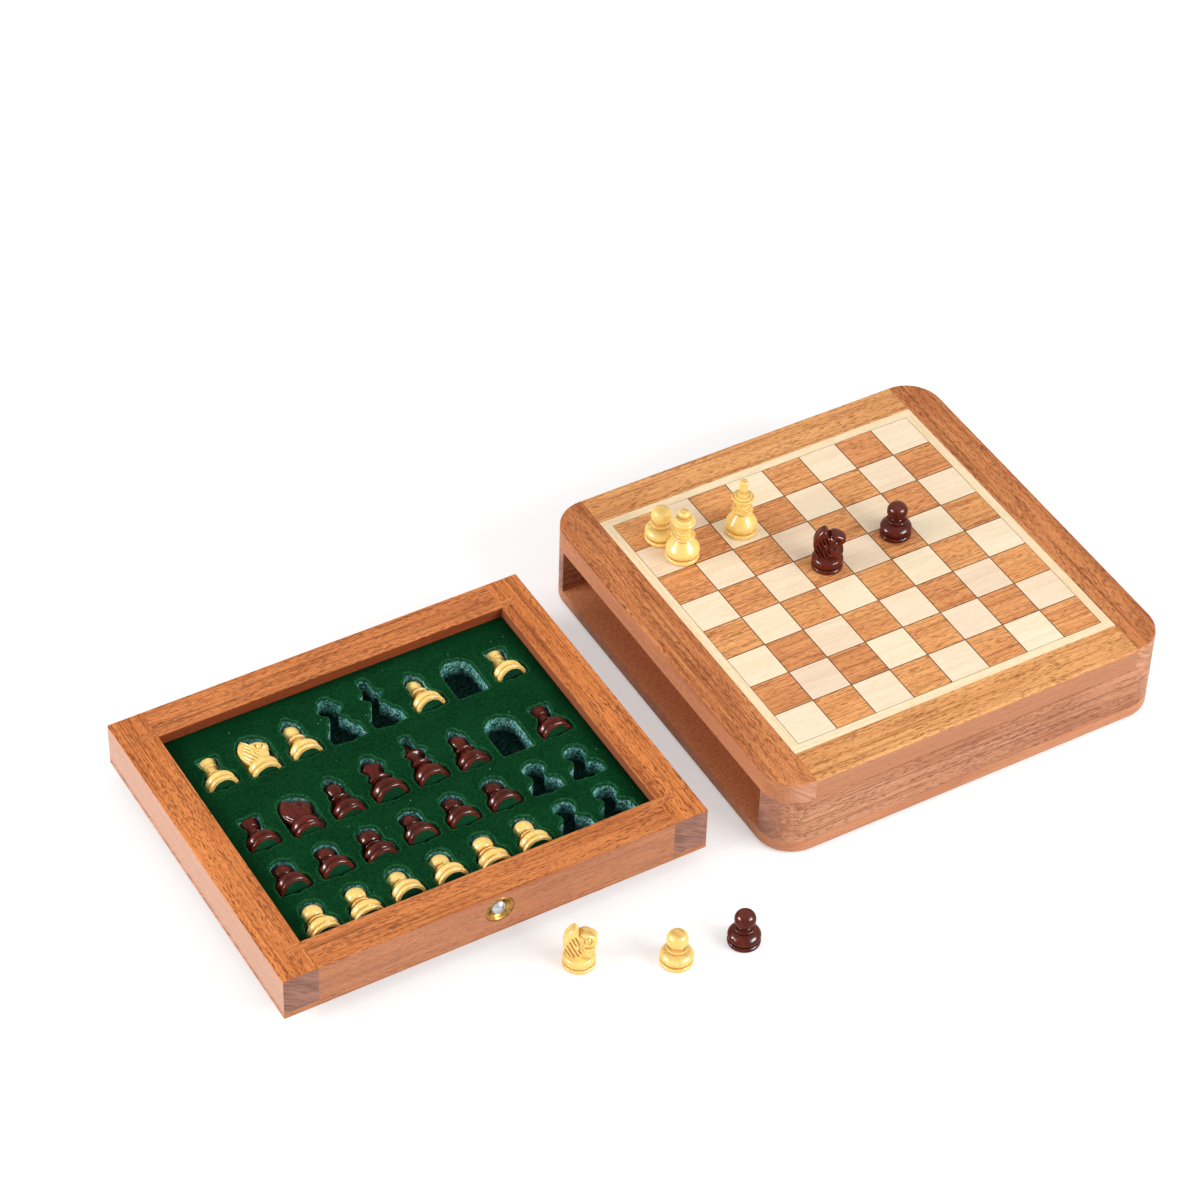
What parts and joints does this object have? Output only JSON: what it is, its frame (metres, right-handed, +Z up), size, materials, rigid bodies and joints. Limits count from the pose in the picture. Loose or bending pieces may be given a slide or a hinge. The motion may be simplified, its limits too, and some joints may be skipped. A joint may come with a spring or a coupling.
{
  "type": "travel chess set",
  "caption": "Square wooden travel chess case with an inlaid magnetic board, a through drawer with a ball catch, and turned men in velvet pockets.",
  "frame": {"origin": "centre of the case's felt underside, on the table", "axes": "+X along the drawer's bay towards the closed drawer's right end, +Y to the rear wall, +Z up"},
  "size_m": [0.3777, 0.2114, 0.0645],
  "materials": {
    "felt": "green wool felt",
    "case_wood": "oiled, open pores",
    "side_rail_wood": "oiled, open pores",
    "cross_rail_wood": "oiled, open pores",
    "fibreboard": "stained fibreboard, matt",
    "steel": "cold-rolled sheet",
    "light_veneer": "satin lacquer",
    "dark_veneer": "satin lacquer",
    "border_maple": "satin lacquer",
    "drawer_wood": "oiled, open pores",
    "velvet": "flocked velvet over foam",
    "brass": "turned",
    "ball_steel": "ground ball",
    "boxwood": "gloss lacquer",
    "stained_boxwood": "gloss lacquer"
  },
  "bodies": {
    "case": {"base_felt": "felt", "bottom_panel": "case_wood", "front_wall": "case_wood", "rear_wall": "case_wood", "top_left_rail": "side_rail_wood", "top_right_rail": "side_rail_wood", "top_front_rail": "cross_rail_wood", "top_rear_rail": "cross_rail_wood", "board_core": "fibreboard", "steel_sheet": "steel", "light_squares": "light_veneer", "dark_squares": "dark_veneer", "border_front_strip": "border_maple", "border_rear_strip": "border_maple", "border_left_strip": "border_maple", "border_right_strip": "border_maple"},
    "drawer": {"drawer_bottom": "fibreboard", "drawer_left_rail": "drawer_wood", "drawer_right_rail": "drawer_wood", "drawer_front_rail": "drawer_wood", "drawer_rear_rail": "drawer_wood", "velvet_insert": "velvet", "catch_cup": "brass"},
    "catch_ball": {"catch_ball": "ball_steel"},
    "light_rook_1": {"light_rook_1": "boxwood"},
    "light_rook_2": {"light_rook_2": "boxwood"},
    "light_knight_1": {"light_knight_1": "boxwood"},
    "light_bishop_1": {"light_bishop_1": "boxwood"},
    "light_bishop_2": {"light_bishop_2": "boxwood"},
    "light_pawn_1": {"light_pawn_1": "boxwood"},
    "light_pawn_2": {"light_pawn_2": "boxwood"},
    "light_pawn_3": {"light_pawn_3": "boxwood"},
    "light_pawn_4": {"light_pawn_4": "boxwood"},
    "light_pawn_5": {"light_pawn_5": "boxwood"},
    "light_pawn_6": {"light_pawn_6": "boxwood"},
    "dark_rook_1": {"dark_rook_1": "stained_boxwood"},
    "dark_rook_2": {"dark_rook_2": "stained_boxwood"},
    "dark_knight_1": {"dark_knight_1": "stained_boxwood"},
    "dark_bishop_1": {"dark_bishop_1": "stained_boxwood"},
    "dark_bishop_2": {"dark_bishop_2": "stained_boxwood"},
    "dark_pawn_1": {"dark_pawn_1": "stained_boxwood"},
    "dark_pawn_2": {"dark_pawn_2": "stained_boxwood"},
    "dark_pawn_3": {"dark_pawn_3": "stained_boxwood"},
    "dark_pawn_4": {"dark_pawn_4": "stained_boxwood"},
    "dark_pawn_5": {"dark_pawn_5": "stained_boxwood"},
    "dark_pawn_6": {"dark_pawn_6": "stained_boxwood"},
    "dark_queen": {"dark_queen": "stained_boxwood"},
    "dark_king": {"dark_king": "stained_boxwood"},
    "light_pawn_7": {"light_pawn_7": "boxwood"},
    "light_queen": {"light_queen": "boxwood"},
    "light_king": {"light_king": "boxwood"},
    "dark_knight_2": {"dark_knight_2": "stained_boxwood"},
    "dark_pawn_7": {"dark_pawn_7": "stained_boxwood"},
    "light_knight_2": {"light_knight_2": "boxwood"},
    "light_pawn_8": {"light_pawn_8": "boxwood"},
    "dark_pawn_8": {"dark_pawn_8": "stained_boxwood"}
  },
  "joints": [
    {"name": "drawer_slide", "type": "slide", "parent": "case", "child": "drawer", "axis": [-1, 0, 0], "range_m": [-0.2, 0]},
    {"name": "catch_press", "type": "slide", "parent": "drawer", "child": "catch_ball", "axis": [0, 1, 0], "range_m": [0, 0.0007], "stiffness_N_per_m": 800, "springref_m": -0.002},
    {"name": "light_rook_1_lift", "type": "slide", "parent": "drawer", "child": "light_rook_1", "axis": [0, 0, 1], "range_m": [0, 0.03]},
    {"name": "light_rook_2_lift", "type": "slide", "parent": "drawer", "child": "light_rook_2", "axis": [0, 0, 1], "range_m": [0, 0.03]},
    {"name": "light_knight_1_lift", "type": "slide", "parent": "drawer", "child": "light_knight_1", "axis": [0, 0, 1], "range_m": [0, 0.03]},
    {"name": "light_bishop_1_lift", "type": "slide", "parent": "drawer", "child": "light_bishop_1", "axis": [0, 0, 1], "range_m": [0, 0.03]},
    {"name": "light_bishop_2_lift", "type": "slide", "parent": "drawer", "child": "light_bishop_2", "axis": [0, 0, 1], "range_m": [0, 0.03]},
    {"name": "light_pawn_1_lift", "type": "slide", "parent": "drawer", "child": "light_pawn_1", "axis": [0, 0, 1], "range_m": [0, 0.03]},
    {"name": "light_pawn_2_lift", "type": "slide", "parent": "drawer", "child": "light_pawn_2", "axis": [0, 0, 1], "range_m": [0, 0.03]},
    {"name": "light_pawn_3_lift", "type": "slide", "parent": "drawer", "child": "light_pawn_3", "axis": [0, 0, 1], "range_m": [0, 0.03]},
    {"name": "light_pawn_4_lift", "type": "slide", "parent": "drawer", "child": "light_pawn_4", "axis": [0, 0, 1], "range_m": [0, 0.03]},
    {"name": "light_pawn_5_lift", "type": "slide", "parent": "drawer", "child": "light_pawn_5", "axis": [0, 0, 1], "range_m": [0, 0.03]},
    {"name": "light_pawn_6_lift", "type": "slide", "parent": "drawer", "child": "light_pawn_6", "axis": [0, 0, 1], "range_m": [0, 0.03]},
    {"name": "dark_rook_1_lift", "type": "slide", "parent": "drawer", "child": "dark_rook_1", "axis": [0, 0, 1], "range_m": [0, 0.03]},
    {"name": "dark_rook_2_lift", "type": "slide", "parent": "drawer", "child": "dark_rook_2", "axis": [0, 0, 1], "range_m": [0, 0.03]},
    {"name": "dark_knight_1_lift", "type": "slide", "parent": "drawer", "child": "dark_knight_1", "axis": [0, 0, 1], "range_m": [0, 0.03]},
    {"name": "dark_bishop_1_lift", "type": "slide", "parent": "drawer", "child": "dark_bishop_1", "axis": [0, 0, 1], "range_m": [0, 0.03]},
    {"name": "dark_bishop_2_lift", "type": "slide", "parent": "drawer", "child": "dark_bishop_2", "axis": [0, 0, 1], "range_m": [0, 0.03]},
    {"name": "dark_pawn_1_lift", "type": "slide", "parent": "drawer", "child": "dark_pawn_1", "axis": [0, 0, 1], "range_m": [0, 0.03]},
    {"name": "dark_pawn_2_lift", "type": "slide", "parent": "drawer", "child": "dark_pawn_2", "axis": [0, 0, 1], "range_m": [0, 0.03]},
    {"name": "dark_pawn_3_lift", "type": "slide", "parent": "drawer", "child": "dark_pawn_3", "axis": [0, 0, 1], "range_m": [0, 0.03]},
    {"name": "dark_pawn_4_lift", "type": "slide", "parent": "drawer", "child": "dark_pawn_4", "axis": [0, 0, 1], "range_m": [0, 0.03]},
    {"name": "dark_pawn_5_lift", "type": "slide", "parent": "drawer", "child": "dark_pawn_5", "axis": [0, 0, 1], "range_m": [0, 0.03]},
    {"name": "dark_pawn_6_lift", "type": "slide", "parent": "drawer", "child": "dark_pawn_6", "axis": [0, 0, 1], "range_m": [0, 0.03]},
    {"name": "dark_queen_lift", "type": "slide", "parent": "drawer", "child": "dark_queen", "axis": [0, 0, 1], "range_m": [0, 0.03]},
    {"name": "dark_king_lift", "type": "slide", "parent": "drawer", "child": "dark_king", "axis": [0, 0, 1], "range_m": [0, 0.03]},
    {"name": "light_pawn_7_lift", "type": "slide", "parent": "case", "child": "light_pawn_7", "axis": [0, 0, 1], "range_m": [0, 0.04]},
    {"name": "light_queen_lift", "type": "slide", "parent": "case", "child": "light_queen", "axis": [0, 0, 1], "range_m": [0, 0.04]},
    {"name": "light_king_lift", "type": "slide", "parent": "case", "child": "light_king", "axis": [0, 0, 1], "range_m": [0, 0.04]},
    {"name": "dark_knight_2_lift", "type": "slide", "parent": "case", "child": "dark_knight_2", "axis": [0, 0, 1], "range_m": [0, 0.04]},
    {"name": "dark_pawn_7_lift", "type": "slide", "parent": "case", "child": "dark_pawn_7", "axis": [0, 0, 1], "range_m": [0, 0.04]},
    {"name": "light_knight_2_lift", "type": "slide", "parent": "case", "child": "light_knight_2", "axis": [0, 0, 1], "range_m": [0, 0.04]},
    {"name": "light_pawn_8_lift", "type": "slide", "parent": "case", "child": "light_pawn_8", "axis": [0, 0, 1], "range_m": [0, 0.04]},
    {"name": "dark_pawn_8_lift", "type": "slide", "parent": "case", "child": "dark_pawn_8", "axis": [0, 0, 1], "range_m": [0, 0.04]}
  ]
}
